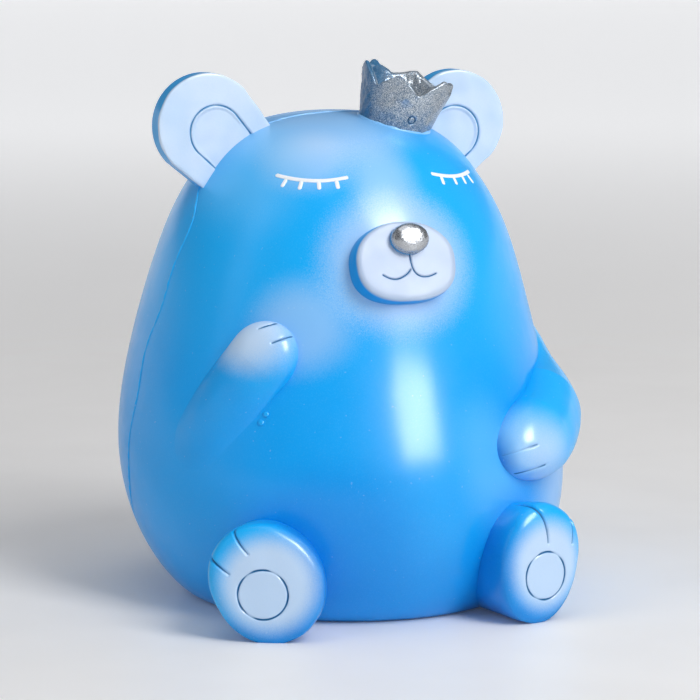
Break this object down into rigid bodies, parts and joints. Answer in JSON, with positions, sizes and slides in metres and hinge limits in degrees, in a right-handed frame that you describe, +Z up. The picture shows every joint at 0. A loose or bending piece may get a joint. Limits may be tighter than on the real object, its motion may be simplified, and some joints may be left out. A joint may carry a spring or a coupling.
{
  "type": "piggy bank",
  "caption": "Hollow egg-shaped sitting bear money box with ears, crown, muzzle, arms and feet, a coin slot in its back and a pull-out stopper in its base.",
  "frame": {"origin": "on the ground, under the middle of the object's bounding box", "axes": "+Z up; the bear faces -Y; +X is the bear's left"},
  "size_m": [0.1379, 0.1472, 0.1608],
  "materials": {
    "body_blue": "satin lacquer with airbrushed pale patches",
    "limb_blue": "satin lacquer, pale at the paws and soles",
    "pale_blue": "satin lacquer, blue at the edges",
    "antique_silver": "silver paint rubbed over blue",
    "bright_silver": "bright silver paint",
    "stopper": "soft plastic"
  },
  "bodies": {
    "bank": {"front_shell": "body_blue", "back_shell": "body_blue", "right_ear": "pale_blue", "left_ear": "pale_blue", "crown": "antique_silver", "muzzle": "pale_blue", "nose": "bright_silver", "right_arm": "limb_blue", "left_arm": "limb_blue", "right_foot": "limb_blue", "left_foot": "limb_blue"},
    "plug": {"base_plug": "stopper"}
  },
  "joints": [
    {"name": "plug_pull", "type": "slide", "parent": "bank", "child": "plug", "axis": [0, 0, -1], "range_m": [0, 0.03]}
  ]
}
